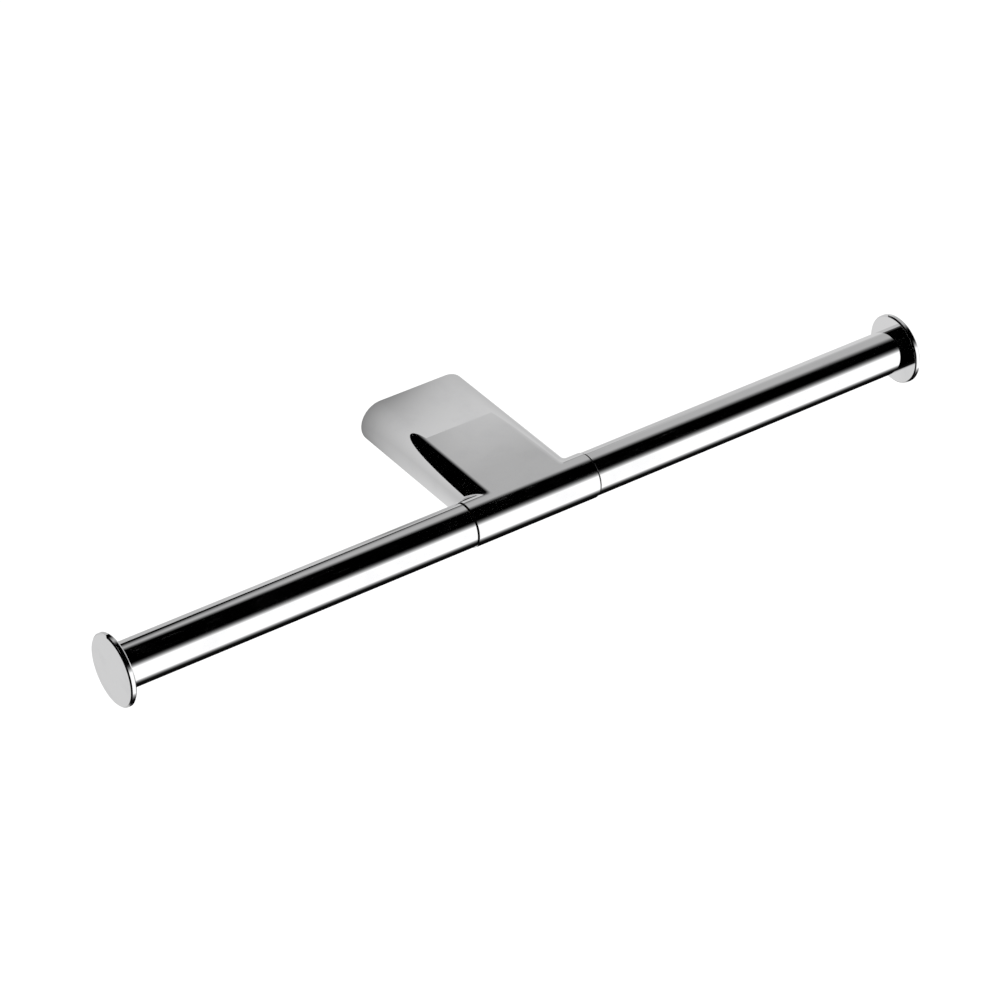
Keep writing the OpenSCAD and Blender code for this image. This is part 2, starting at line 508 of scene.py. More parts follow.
@dataclass(frozen=True)
class Bracket:
    """The flat arm and the barrel, one casting, with its hollow, pad and tapped holes."""

    lathe: Lathe
    radius: float = 8.3 * MM
    side_x: float = 13.7 * MM
    seam_x: float = 25.4 * MM
    blend: float = 1.5 * MM
    blend_steps: int = 8
    edge: float = 0.25 * MM
    edge_steps: int = 4
    facet_dip: float = 0.01 * MM
    socket: float = 6.1 * MM
    socket_depth: float = 16 * MM
    core: float = 4.9 * MM
    core_depth: float = 50 * MM
    stud_hole: float = 4 * MM
    stud_hole_depth: float = 16 * MM
    lead_in: float = 0.5 * MM
    pad: Vector = Vector((10, 15.2, 3)) * MM
    pad_top: float = -4.5 * MM
    screw_hole: float = 2.5 * MM
    screw_hole_depth: float = 6 * MM
    screw_hole_sides: int = 96
    screw_flare: float = 0.35 * MM
    screw_y: float = -5 * MM

    @property
    def axis_y(self) -> float:
        """Place of the barrel's axis in front of the wall."""
        return self.lathe.axis_y

    def build(self) -> bpy.types.Object:
        """Models the right half, mirrors it, rounds the creases and cuts the holes.

        Returns:
            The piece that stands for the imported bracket.
        """
        piece = self._outer_skin()
        self._barrel_end(piece)
        self._hollow(piece)
        Bench.merge()
        Bench.clear()
        Bench.modify(piece, "MIRROR", use_axis=(True, False, False), merge_threshold=TINY)
        self._round_creases(piece)
        Bench.pick(piece)
        bpy.ops.object.mode_set(mode="EDIT")
        Bench.merge()
        Bench.clear()
        Bench.combine(piece, self._pad(), "UNION")
        Bench.combine(piece, self._screw_cutter(), "DIFFERENCE")
        Bench.shade(piece)
        return piece

    def _outer_skin(self) -> bpy.types.Object:
        """Extrudes the half outline, mitres it with the barrel's back and spins the front.

        Returns:
            The object, in edit mode.
        """
        half = Vector((self.side_x, -self.edge, 0))
        turn = Vector((math.pi / 2, 0, 0))
        piece = Bench.ring("bracket_bright", half, self.radius, self.lathe.sides, turn)
        Bench.select(piece, lambda co: co.x < self.side_x - TINY)
        bpy.ops.mesh.delete(type="VERT")
        Bench.select(piece, lambda co: abs(co.x - self.side_x) < TINY)
        bpy.ops.mesh.extrude_vertices_move(TRANSFORM_OT_translate={"value": (-self.side_x, 0, 0)})
        bpy.ops.mesh.select_all(action="SELECT")
        run = Vector((0, self.axis_y + self.edge, 0))
        bpy.ops.mesh.extrude_edges_move(TRANSFORM_OT_translate={"value": run})
        self._mitre(piece, lambda co: co.x > self.side_x + TINY, away=True)
        bpy.ops.mesh.select_all(action="DESELECT")
        bpy.ops.mesh.primitive_circle_add(
            vertices=self.lathe.sides,
            radius=self.radius,
            location=(self.seam_x - self.edge, self.axis_y, 0),
            rotation=(0, math.pi / 2, 0),
        )
        Bench.select(piece, lambda co: co.y < self.axis_y - TINY)
        bpy.ops.mesh.delete(type="VERT")
        Bench.select(piece, lambda co: abs(co.x - self.seam_x + self.edge) < TINY)
        back = Vector((self.side_x + self.edge - self.seam_x, 0, 0))
        bpy.ops.mesh.extrude_edges_move(TRANSFORM_OT_translate={"value": back})
        self._mitre(piece, self._on_barrel, away=False)
        Bench.merge_doubles()
        Bench.select_edges(piece, self._on_crest)
        bpy.ops.mesh.spin(
            steps=self.lathe.sides // 2,
            angle=-math.pi,
            center=(0, self.axis_y, 0),
            axis=(1, 0, 0),
        )
        Bench.merge_doubles()
        return piece

    def _on_round(self, co: Vector) -> bool:
        """Whether a place lies on the barrel's round, or on a facet of it."""
        return abs(math.hypot(co.y - self.axis_y, co.z) - self.radius) < self.facet_dip

    def _on_barrel(self, co: Vector) -> bool:
        """Whether a facet's middle lies on the barrel, beside the flat arm."""
        return co.x > self.side_x + TINY and self._on_round(co)

    def _on_crest(self, co: Vector) -> bool:
        """Whether a vertex lies on the line along the barrel's top."""
        return abs(co.y - self.axis_y) < TINY and abs(co.z - self.radius) < TINY

    def _mitre(self, piece: bpy.types.Object, test: Test, away: bool) -> None:
        """Cuts some faces with the slanted plane in which the two rounds meet.

        Args:
            piece: The object in edit mode.
            test: Says which faces are cut.
            away: Removes what lies away from the wall, or else towards it.
        """
        Bench.select_faces(piece, test)
        normal = Vector((1, -1, 0)).normalized()
        bpy.ops.mesh.bisect(
            plane_co=(self.side_x, self.axis_y, 0),
            plane_no=normal,
            clear_outer=away,
            clear_inner=not away,
            threshold=TINY / 10,
        )

    def _barrel_end(self, piece: bpy.types.Object) -> None:
        """Faces the barrel's end and sinks the stud's hole.

        The selected ring lies an edge's width short of the seam, but the section is followed
        from its second corner on. So the end stays at that ring, 0.25 mm short of the solid's
        and without its chamfer, and the hole comes out 0.12 mm too wide in radius. This is a
        known fault. Following the section from its first corner should mend it, which is
        untested.

        Args:
            piece: The object in edit mode.
        """
        ring_x = self.seam_x - self.edge
        Bench.select_edges(piece, lambda co: abs(co.x - ring_x) < TINY)
        outline = Outline(
            (
                Corner(ring_x, self.radius),
                Corner(self.seam_x, self.radius - self.edge),
                Corner(self.seam_x, self.stud_hole + self.lead_in),
                Corner(self.seam_x - self.lead_in, self.stud_hole),
                Corner(self.seam_x - self.stud_hole_depth, self.stud_hole),
            ),
            Ends.CAPPED,
        )
        self.lathe.follow(outline.eased()[1:])
        bpy.ops.mesh.edge_face_add()

    def _hollow(self, piece: bpy.types.Object) -> None:
        """Rounds the wall end and sinks the socket and the core behind it.

        Args:
            piece: The object in edit mode.
        """
        Bench.select_edges(piece, lambda co: abs(co.y + self.edge) < TINY)
        radius = self.radius
        y = -self.edge
        steps = range(1, self.edge_steps + 1)
        turns = [math.radians(90 * step / self.edge_steps) for step in steps]
        sections = [
            (self.radius - self.edge * (1 - math.cos(a)), self.edge * (math.sin(a) - 1))
            for a in turns
        ]
        sections += [
            (self.socket + self.edge, 0.0),
            (self.socket, -self.edge),
            (self.socket, -self.socket_depth),
            (self.core, -self.socket_depth),
            (self.core, -self.core_depth),
        ]
        for next_radius, next_y in sections:
            self._next_half_outline(piece, next_y - y, next_radius / radius, next_y)
            radius, y = next_radius, next_y
        bpy.ops.mesh.edge_face_add()

    def _next_half_outline(
        self, piece: bpy.types.Object, run: float, scale: float, y: float
    ) -> None:
        """Extrudes the selected half outline along Y and scales it about its round's centre.

        Args:
            piece: The object in edit mode.
            run: Distance along Y.
            scale: Share of the round's radius that the new outline has.
            y: Place of the new outline.
        """
        bpy.ops.mesh.extrude_edges_move(TRANSFORM_OT_translate={"value": (0, run, 0)})
        outline = Bench.selected(piece)
        centre = Vector((self.side_x, y, 0))
        bpy.ops.transform.resize(value=(1, 1, scale), center_override=centre)
        Bench.select(piece, lambda co: co.x > self.side_x + TINY, within=True)
        bpy.ops.transform.resize(value=(scale, 1, 1), center_override=centre)
        Bench.select_again(piece, outline)

    def _round_creases(self, piece: bpy.types.Object) -> None:
        """Rolls a blend along the crease behind the barrel, fading out at top and bottom.

        Args:
            piece: The mirrored object.
        """
        weights = piece.data.attributes.new("bevel_weight_edge", "FLOAT", "EDGE")
        for edge in piece.data.edges:
            ends = [piece.data.vertices[index].co for index in edge.vertices]
            if all(self._on_crease(co) for co in ends):
                middle = (ends[0] + ends[1]) / 2
                weights.data[edge.index].value = max(0.0, (middle.y - self.axis_y) / self.radius)
        Bench.modify(
            piece,
            "BEVEL",
            limit_method="WEIGHT",
            offset_type="ABSOLUTE",
            width=self.blend,
            segments=self.blend_steps,
            profile=0.5,
            use_clamp_overlap=False,
        )

    def _on_crease(self, co: Vector) -> bool:
        """Whether a vertex lies on the crease of the outer skin."""
        along = abs(co.x) - self.side_x
        back = co.y - self.axis_y
        return abs(along - back) < TINY and self._on_round(co)

    def _pad(self) -> bpy.types.Object:
        """Makes the pad that carries the set screw.

        Returns:
            The solid that is joined to the bracket.
        """
        Bench.clear()
        low = self.pad_top - self.pad.z / 2
        place = (0, -self.pad.y / 2 - self.edge, low)
        bpy.ops.mesh.primitive_cube_add(size=1, location=place, scale=self.pad)
        bpy.ops.object.transform_apply()
        return bpy.context.object

    def _screw_cutter(self) -> bpy.types.Object:
        """Makes the cutter for the set screw's hole, flared where it leaves the bracket.

        Returns:
            The solid that is cut out.
        """
        Bench.clear()
        start = self.screw_flare - self.radius
        bpy.ops.mesh.primitive_cylinder_add(
            vertices=self.screw_hole_sides,
            radius=self.screw_hole,
            depth=self.screw_hole_depth,
            location=(0, self.screw_y, start + self.screw_hole_depth / 2),
        )
        cutter = bpy.context.object
        bpy.ops.object.transform_apply()
        bpy.ops.object.mode_set(mode="EDIT")
        Bench.select_faces(cutter, lambda co: abs(co.z - start) < TINY)
        for run in (self.screw_flare, OVERSHOOT):
            bpy.ops.mesh.extrude_region_move(TRANSFORM_OT_translate={"value": (0, 0, -run)})
            wide = 1 + run / self.screw_hole
            bpy.ops.transform.resize(value=(wide, wide, 1))
        Bench.merge()
        Bench.clear()
        return cutter


@dataclass(frozen=True)
class Thread:
    """A right-hand screw thread.

    Attributes:
        pitch: Distance between two turns.
        crest: Radius over the crests.
        depth: Height of the thread.
        steps: Facets in one turn.
        spare_turns: Turns that are wound past the length and then cut off.
    """

    pitch: float
    crest: float
    depth: float
    steps: int = 36
    spare_turns: int = 3

    def rod(self, name: str, length: float) -> bpy.types.Object:
        """Winds a threaded rod along Z, from the origin up.

        Args:
            name: Name of the rod.
            length: Its length.

        Returns:
            The closed rod, in object mode.
        """
        root = self.crest - self.depth
        root_flat = self.pitch / 4
        crest_flat = self.pitch / 8
        flank = self.pitch * 5 / 16
        Bench.clear()
        bpy.ops.mesh.primitive_plane_add(size=self.pitch, location=(root, 0, -self.pitch))
        rod = bpy.context.object
        rod.name = name
        rod.data.name = name
        bpy.ops.object.transform_apply()
        bpy.ops.object.mode_set(mode="EDIT")
        bpy.ops.mesh.select_mode(type="VERT")
        bpy.ops.mesh.select_all(action="SELECT")
        bpy.ops.mesh.merge(type="CENTER")
        for out, up in (
            (0, root_flat),
            (self.depth, flank),
            (0, crest_flat),
            (-self.depth, flank),
        ):
            bpy.ops.mesh.extrude_vertices_move(TRANSFORM_OT_translate={"value": (out, 0, up)})
        Bench.clear()
        Bench.modify(
            rod,
            "SCREW",
            axis="Z",
            screw_offset=self.pitch,
            iterations=math.ceil(length / self.pitch) + self.spare_turns,
            steps=self.steps,
            render_steps=self.steps,
            use_merge_vertices=False,
        )
        bpy.ops.object.mode_set(mode="EDIT")
        Bench.merge()
        for level, below in ((0.0, True), (length, False)):
            bpy.ops.mesh.select_all(action="SELECT")
            bpy.ops.mesh.bisect(
                plane_co=(0, 0, level),
                plane_no=(0, 0, 1),
                use_fill=True,
                clear_inner=below,
                clear_outer=not below,
                threshold=TINY / 10,
            )
        Bench.merge()
        Bench.clear()
        return rod


@dataclass(frozen=True)
class KeySocket:
    """A hexagon socket.

    Attributes:
        flats: Distance across the flats.
        depth: Depth of the straight part.
        cone: Depth of the drilled cone, as a share of half the width over the corners.
        cone_end: Share of that width that is left at its tip.
    """

    flats: float
    depth: float
    cone: float = 0.45
    cone_end: float = 0.1

    def cutter(self) -> bpy.types.Object:
        """Makes the cutter along Z, from above the origin down to a drilled cone.

        Returns:
            The solid that is cut out.
        """
        Bench.clear()
        points = self.flats / math.sqrt(3)
        bpy.ops.mesh.primitive_cylinder_add(
            vertices=6,
            radius=points,
            depth=self.depth + OVERSHOOT,
            location=(0, 0, (OVERSHOOT - self.depth) / 2),
        )
        cutter = bpy.context.object
        bpy.ops.object.transform_apply()
        bpy.ops.object.mode_set(mode="EDIT")
        Bench.select_faces(cutter, lambda co: co.z < TINY - self.depth)
        tip = points * self.cone
        bpy.ops.mesh.extrude_region_move(TRANSFORM_OT_translate={"value": (0, 0, -tip)})
        bpy.ops.transform.resize(value=(self.cone_end, self.cone_end, 1))
        Bench.merge()
        Bench.clear()
        return cutter


@dataclass(frozen=True)
class ArmStud:
    """The headless stud across a seam: one half in the barrel, one half in the tube's insert."""

    lathe: Lathe
    seam_x: float = 25.4 * MM
    length: float = 28 * MM
    lead: float = 0.5 * MM
    thread: Thread = Thread(1.25 * MM, 3.95 * MM, 0.72 * MM)
    key: KeySocket = KeySocket(4 * MM, 4.5 * MM)

    def build(self) -> bpy.types.Object:
        """Winds the thread, turns both ends conical and sinks the key socket.

        Returns:
            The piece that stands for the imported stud.
        """
        near = self.seam_x - self.length / 2
        far = self.seam_x + self.length / 2
        rod = self.thread.rod("right_arm_stud_threaded", self.length)
        Bench.place(rod, Vector((0, math.pi / 2, 0)), Vector((near, self.lathe.axis_y, 0)))
        full = self.thread.crest + CREST_ROOM
        small = self.thread.crest - self.lead
        blank = self.lathe.turn(
            "stud_blank",
            Outline(
                (
                    Corner(near - CONE_PAST, small - CONE_PAST),
                    Corner(near + self.lead, full),
                    Corner(far - self.lead, full),
                    Corner(far + CONE_PAST, small - CONE_PAST),
                ),
                Ends.CAPPED,
            ),
        )
        Bench.combine(rod, blank, "INTERSECT")
        cutter = self.key.cutter()
        Bench.place(cutter, Vector((0, math.pi / 2, 0)), Vector((far, self.lathe.axis_y, 0)))
        Bench.combine(rod, cutter, "DIFFERENCE")
        Bench.shade(rod, THREAD_ANGLE)
        return rod


@dataclass(frozen=True)
class TubeInsert:
    """The tapped brass plug in the seam end of a tube, with grooves for its adhesive."""

    lathe: Lathe
    seam_x: float = 25.4 * MM
    recess: float = 0.3 * MM
    length: float = 18 * MM
    radius: float = 6.96 * MM
    groove_depth: float = 0.35 * MM
    groove_width: float = 1.6 * MM
    groove_ease: float = 0.08 * MM
    groove_places: tuple[float, ...] = (4.5 * MM, 9 * MM, 13.5 * MM)
    end_ease: float = 0.3 * MM
    ease_steps: int = 3
    pilot: float = 1 * MM
    tap_start: float = 11.4 * MM
    tap_past: float = 3 * MM
    thread: Thread = Thread(1.25 * MM, 4 * MM, 0.72 * MM)
    mouth: float = 4.2 * MM
    tip_room: float = 0.01 * MM

    def build(self) -> bpy.types.Object:
        """Turns the plug and taps it with the stud's own thread, a little wider.

        Returns:
            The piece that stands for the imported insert.
        """
        start = self.seam_x + self.recess
        end = start + self.length
        floor = self.radius - self.groove_depth
        slope = self.groove_depth / 2
        corners = [Corner(start, self.pilot), Corner(start, self.radius, self.end_ease)]
        for place in self.groove_places:
            first = start + place - self.groove_width / 2
            last = first + self.groove_width
            corners += [
                Corner(first, self.radius, self.groove_ease),
                Corner(first + slope, floor, self.groove_ease),
                Corner(last - slope, floor, self.groove_ease),
                Corner(last, self.radius, self.groove_ease),
            ]
        corners += [Corner(end, self.radius, self.end_ease), Corner(end, self.pilot)]
        outline = Outline(tuple(corners), Ends.CAPPED, self.ease_steps)
        plug = self.lathe.turn("right_tube_insert_tapped", outline)
        tap = self.thread.rod("tap", end - self.tap_start + self.tap_past)
        tap_foot = Vector((self.tap_start, self.lathe.axis_y, 0))
        Bench.place(tap, Vector((0, math.pi / 2, 0)), tap_foot)
        Bench.combine(plug, tap, "DIFFERENCE")
        inner = self.thread.crest - self.thread.depth
        flare = self.mouth - inner
        tip = inner - self.tip_room
        for face_x, way in ((start, 1), (end, -1)):
            flared = self.lathe.turn(
                "countersink",
                Outline(
                    (
                        Corner(face_x - way * CONE_PAST, self.mouth + CONE_PAST),
                        Corner(face_x + way * flare, tip),
                        Corner(face_x + way * 1.5 * flare, tip),
                    ),
                    Ends.CAPPED,
                ),
            )
            Bench.combine(plug, flared, "DIFFERENCE")
        Bench.shade(plug, THREAD_ANGLE)
        return plug


@dataclass(frozen=True)
class SetScrew:
    """The cone-point grub screw that fixes the bracket on its wall plate, driven from below."""

    y: float = -5 * MM
    bottom: float = -8.1 * MM
    length: float = 5 * MM
    sides: int = 96
    tip: float = 0.5 * MM
    lead: float = 0.35 * MM
    thread: Thread = Thread(0.8 * MM, 2.45 * MM, 0.46 * MM)
    key: KeySocket = KeySocket(2.5 * MM, 2.2 * MM)

    def build(self) -> bpy.types.Object:
        """Winds the thread, turns the point and sinks the key socket.

        Returns:
            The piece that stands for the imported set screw.
        """
        rod = self.thread.rod("set_screw_threaded", self.length)
        full = self.thread.crest + CREST_ROOM
        shoulder = self.length - (full - self.tip)
        blank = Lathe(axis_y=0.0, sides=self.sides).turn(
            "set_screw_blank",
            Outline(
                (
                    Corner(-CONE_PAST, full - self.lead - CONE_PAST),
                    Corner(self.lead, full),
                    Corner(shoulder, full),
                    Corner(self.length, self.tip),
                ),
                Ends.CAPPED,
            ),
        )
        Bench.place(blank, Vector((0, -math.pi / 2, 0)), Vector((0, 0, 0)))
        Bench.combine(rod, blank, "INTERSECT")
        cutter = self.key.cutter()
        Bench.place(cutter, Vector((math.pi, 0, 0)), Vector((0, 0, 0)))
        Bench.combine(rod, cutter, "DIFFERENCE")
        Bench.place(rod, Vector((0, 0, 0)), Vector((0, self.y, self.bottom)))
        Bench.shade(rod, THREAD_ANGLE)
        return rod


# Finishes


Colour = tuple[float, float, float, float]
Signal = bpy.types.NodeSocket | float

BLACK: Colour = (0.0, 0.0, 0.0, 1.0)
WHITE: Colour = (1.0, 1.0, 1.0, 1.0)


@dataclass(frozen=True)
class Step:
    """A step between two levels.

    Attributes:
        start: Value at which the step starts.
        end: Value at which it ends.
        low: Level up to the start.
        high: Level from the end on.
        course: SMOOTHSTEP, or LINEAR for a straight one.
    """

    start: float
    end: float
    low: float = 0.0
    high: float = 1.0
    course: str = "SMOOTHSTEP"


class Wiring:
    """Adds and joins the nodes of one tree."""

    def __init__(self, tree: bpy.types.NodeTree) -> None:
        """Takes the tree.

        Args:
            tree: The node tree that is worked on.
        """
        self.tree = tree

    def node(self, kind: str, inputs: dict | None = None, **settings: object) -> bpy.types.Node:
        """Adds a node.

        Args:
            kind: Blender's name of the node's type.
            inputs: Values or sockets for its inputs, by name or number.
            settings: Values of its properties.

        Returns:
            The new node.
        """
        node = self.tree.nodes.new(kind)
        for name, value in settings.items():
            setattr(node, name, value)
        for name, value in (inputs or {}).items():
            self.feed(node.inputs[name], value)
        return node

    def feed(self, socket: bpy.types.NodeSocket, value: object) -> None:
        """Joins a socket to an input, or sets the input's value.

        Args:
            socket: The input.
            value: An output socket, or a plain value.
        """
        if isinstance(value, bpy.types.NodeSocket):
            self.tree.links.new(value, socket)
        else:
            socket.default_value = value

    def calc(self, operation: str, first: Signal, second: Signal = 0.0) -> bpy.types.NodeSocket:
        """Adds one step of arithmetic.

        Args:
            operation: Blender's name of the operation.
            first: First value or socket.
            second: Second value or socket.

        Returns:
            The result.
        """
        return self.node("ShaderNodeMath", {0: first, 1: second}, operation=operation).outputs[0]

    def product(self, first: Signal, *others: Signal) -> Signal:
        """Multiplies values from left to right.

        Args:
            first: The first factor.
            others: The other factors.

        Returns:
            The product.
        """
        for other in others:
            first = self.calc("MULTIPLY", first, other)
        return first

    def total(self, first: Signal, *others: Signal) -> Signal:
        """Adds values up from left to right.

        Args:
            first: The first value.
            others: The other values.

        Returns:
            The total.
        """
        for other in others:
            first = self.calc("ADD", first, other)
        return first

    def ramp(self, value: Signal, step: Step) -> bpy.types.NodeSocket:
        """Adds a step between two levels.

        Args:
            value: What is stepped.
            step: The step.

        Returns:
            The level.
        """
        inputs = {
            "Value": value,
            "From Min": step.start,
            "From Max": step.end,
            "To Min": step.low,
            "To Max": step.high,
        }
        node = self.node("ShaderNodeMapRange", inputs, interpolation_type=step.course)
        return node.outputs["Result"]

    def mix(self, share: Signal, first: Signal, second: Signal) -> bpy.types.NodeSocket:
        """Mixes two values.

        Args:
            share: Share of the second one.
            first: Value at share 0.
            second: Value at share 1.

        Returns:
            The mixed value.
        """
        inputs = {0: share, 2: first, 3: second}
        return self.node("ShaderNodeMix", inputs, data_type="FLOAT").outputs[0]

    def tint(self, share: Signal, first: object, second: object) -> bpy.types.NodeSocket:
        """Mixes two colours.

        Args:
            share: Share of the second one.
            first: Colour at share 0.
            second: Colour at share 1.

        Returns:
            The mixed colour.
        """
        inputs = {0: share, 6: first, 7: second}
        return self.node("ShaderNodeMix", inputs, data_type="RGBA").outputs[2]

    def noise(
        self, place: Signal, scale: Signal, detail: float, roughness: float = 0.5
    ) -> bpy.types.NodeSocket:
        """Adds soft noise.

        Args:
            place: Where it is looked up.
            scale: Patches in a unit of length.
            detail: Number of its finer layers.
            roughness: Weight of these layers.

        Returns:
            The noise.
        """
        inputs = {"Vector": place, "Scale": scale, "Detail": detail, "Roughness": roughness}
        return self.node("ShaderNodeTexNoise", inputs).outputs["Fac"]

    def axes(self, vector: bpy.types.NodeSocket) -> tuple[bpy.types.NodeSocket, ...]:
        """Splits a vector.

        Args:
            vector: The vector.

        Returns:
            Its three parts.
        """
        return tuple(self.node("ShaderNodeSeparateXYZ", {0: vector}).outputs)

    def length(self, first: Signal, second: Signal) -> bpy.types.NodeSocket:
        """Measures the long side of a right triangle.

        Args:
            first: One short side.
            second: The other.

        Returns:
            The length.
        """
        flat = self.node("ShaderNodeCombineXYZ", {"X": first, "Y": second})
        node = self.node("ShaderNodeVectorMath", {0: flat.outputs[0]}, operation="LENGTH")
        return node.outputs["Value"]


class SharedGroup:
    """A node group that several materials share.

    Attributes:
        NAME: Its name.
        INPUTS: Its inputs, with the type of each.
        OUTPUTS: Its outputs, all of them plain values.
    """

    NAME: str
    INPUTS: dict[str, str]
    OUTPUTS: tuple[str, ...]

    @classmethod
    def group(cls) -> bpy.types.NodeTree:
        """Finds the group, or builds it once.

        Returns:
            The node group.
        """
        made = bpy.data.node_groups.get(cls.NAME)
        if made is not None:
            return made
        tree = bpy.data.node_groups.new(cls.NAME, "ShaderNodeTree")
        for name, kind in cls.INPUTS.items():
            tree.interface.new_socket(name, in_out="INPUT", socket_type=kind)
        for name in cls.OUTPUTS:
            tree.interface.new_socket(name, in_out="OUTPUT", socket_type="NodeSocketFloat")
        wiring = Wiring(tree)
        given = wiring.node("NodeGroupInput")
        results = cls.wire(wiring, given.outputs)
        wiring.node("NodeGroupOutput", dict(zip(cls.OUTPUTS, results)))
        return tree

    @classmethod
    def wire(cls, wiring: Wiring, given: bpy.types.NodeOutputs) -> tuple[Signal, ...]:
        """Wires the inside of the group.

        Args:
            wiring: The group's tree.
            given: What comes in.

        Returns:
            One result for each output.
        """
        raise NotImplementedError


class HandlingMarks(SharedGroup):
    """Spreads haze, hairlines and ripple over bright metal.

    Attributes:
        HAZE: Noise over which a patch of haze starts.
        HAIRLINE: Noise over which a hairline starts.
        SWEEPS: Turn and seed of each set of hairlines.
        STRETCH: Hairlines in a metre along them and across.
        RIPPLES: Ripples in a metre.
    """

    NAME = "handling_marks"
    INPUTS = {"Vector": "NodeSocketVector", "Haze Scale": "NodeSocketFloat"}
    OUTPUTS = ("Haze", "Hairlines", "Ripple")
    HAZE = Step(0.46, 0.72)
    HAIRLINE = Step(0.70, 0.76)
    SWEEPS = ((0.35, 3.0), (-0.9, 11.0), (1.9, 23.0))
    STRETCH = (60.0, 2600.0, 2600.0)
    RIPPLES = 170.0

    @classmethod
    def wire(cls, wiring: Wiring, given: bpy.types.NodeOutputs) -> tuple[Signal, ...]:
        """Wires the inside of the group.

        Args:
            wiring: The group's tree.
            given: Place and scale of the haze.

        Returns:
            Haze, hairlines and ripple.
        """
        haze = wiring.ramp(wiring.noise(given["Vector"], given["Haze Scale"], 4.0, 0.6), cls.HAZE)
        hairlines = None
        for turn, seed in cls.SWEEPS:
            turned = wiring.node(
                "ShaderNodeMapping",
                {
                    "Vector": given["Vector"],
                    "Location": (seed, seed / 3, -seed),
                    "Rotation": (turn, turn * 0.7, turn * 1.3),
                    "Scale": cls.STRETCH,
                },
            )
            sweep = wiring.ramp(wiring.noise(turned.outputs["Vector"], 1.0, 1.0), cls.HAIRLINE)
            hairlines = wiring.calc("MAXIMUM", hairlines, sweep) if hairlines is not None else sweep
        return haze, hairlines, wiring.noise(given["Vector"], cls.RIPPLES, 2.0)


class ToolGrain(SharedGroup):
    """Draws the fine parallel grain of brushing or turning.

    Attributes:
        GRAIN: Noise over which the grain's crests start.
        BLOTCH: Noise over which a blotch starts.
        BLOTCHES: Blotches in a metre.
    """

    NAME = "tool_grain"
    INPUTS = {"Vector": "NodeSocketVector", "Stretch": "NodeSocketVector"}
    OUTPUTS = ("Grain", "Blotch")
    GRAIN = Step(0.3, 0.7)
    BLOTCH = Step(0.35, 0.7)
    BLOTCHES = 140.0

    @classmethod
    def wire(cls, wiring: Wiring, given: bpy.types.NodeOutputs) -> tuple[Signal, ...]:
        """Wires the inside of the group.

        Args:
            wiring: The group's tree.
            given: Place and stretch of the grain.

        Returns:
            Grain and blotches.
        """
        inputs = {0: given["Vector"], 1: given["Stretch"]}
        drawn = wiring.node("ShaderNodeVectorMath", inputs, operation="MULTIPLY")
        fine = wiring.noise(drawn.outputs["Vector"], 1.0, 5.0, 0.7)
        broad = wiring.noise(given["Vector"], cls.BLOTCHES, 3.0)
        return wiring.ramp(fine, cls.GRAIN), wiring.ramp(broad, cls.BLOTCH)


class PaintedSeamShade(SharedGroup):
    """Marks where a dark, dull colour is painted in as shade: in the grooves at the two seams and
    in the bores.

    Attributes:
        START_X: Place along the arms, just inside the barrel's end, where it starts.
        LIP_X: Place half way out on the chamfer of the tube's lip, where it ends.
        MOUTH: Radius below which the groove gets the painted shade.
        FLOOR: Radius below which the tube gets the painted shade all along.
    """

    NAME = "painted_seam_shade"
    INPUTS = {"Vector": "NodeSocketVector"}
    OUTPUTS = ("Painted Shade",)
    START_X = ArmTube.seam_x - 0.05 * MM
    LIP_X = 25.77 * MM
    MOUTH = 8.03 * MM
    FLOOR = 7.7 * MM

    @classmethod
    def wire(cls, wiring: Wiring, given: bpy.types.NodeOutputs) -> tuple[Signal, ...]:
        """Wires the inside of the group.

        Args:
            wiring: The group's tree.
            given: The place.

        Returns:
            Whether it gets the painted shade.
        """
        x, y, z = wiring.axes(given["Vector"])
        outwards = wiring.calc("ABSOLUTE", x)
        radius = wiring.length(wiring.calc("SUBTRACT", y, AXIS_Y), z)
        past_seam = wiring.calc("GREATER_THAN", outwards, cls.START_X)
        below_lip = wiring.calc("LESS_THAN", outwards, cls.LIP_X)
        below_mouth = wiring.calc("LESS_THAN", radius, cls.MOUTH)
        in_bore = wiring.calc("LESS_THAN", radius, cls.FLOOR)
        inside = wiring.calc("MAXIMUM", wiring.product(below_lip, below_mouth), in_bore)
        return (wiring.product(past_seam, inside),)


class Metal:
    """A metal material while its finish is wired."""

    def __init__(self, name: str) -> None:
        """Starts the material.

        Args:
            name: Name of the material.
        """
        self.material = bpy.data.materials.new(name)
        self.material.use_nodes = True
        self.wiring = Wiring(self.material.node_tree)
        self.place = self.wiring.node("ShaderNodeTexCoord").outputs["Object"]

    def shared(self, kind: type[SharedGroup], **inputs: object) -> bpy.types.NodeOutputs:
        """Adds a shared group that is laid out on the object.

        Args:
            kind: The group.
            inputs: Its inputs apart from the place, with _ for a blank in a name.

        Returns:
            What comes out of it.
        """
        named = {name.replace("_", " "): value for name, value in inputs.items()}
        named["Vector"] = self.place
        return self.wiring.node("ShaderNodeGroup", named, node_tree=kind.group()).outputs

    def finish(
        self, colour: Signal, roughness: Signal, height: Signal, depth: float
    ) -> bpy.types.Material:
        """Joins the finish to the material's shader.

        Args:
            colour: Its colour.
            roughness: Its roughness.
            height: Course of its relief.
            depth: Depth of the relief.

        Returns:
            The finished material.
        """
        relief = {"Strength": 1.0, "Distance": depth, "Height": height}
        shader = self.material.node_tree.nodes["Principled BSDF"]
        for name, value in {
            "Base Color": colour,
            "Roughness": roughness,
            "Normal": self.wiring.node("ShaderNodeBump", relief).outputs["Normal"],
            "Metallic": 1.0,
        }.items():
            self.wiring.feed(shader.inputs[name], value)
        return self.material


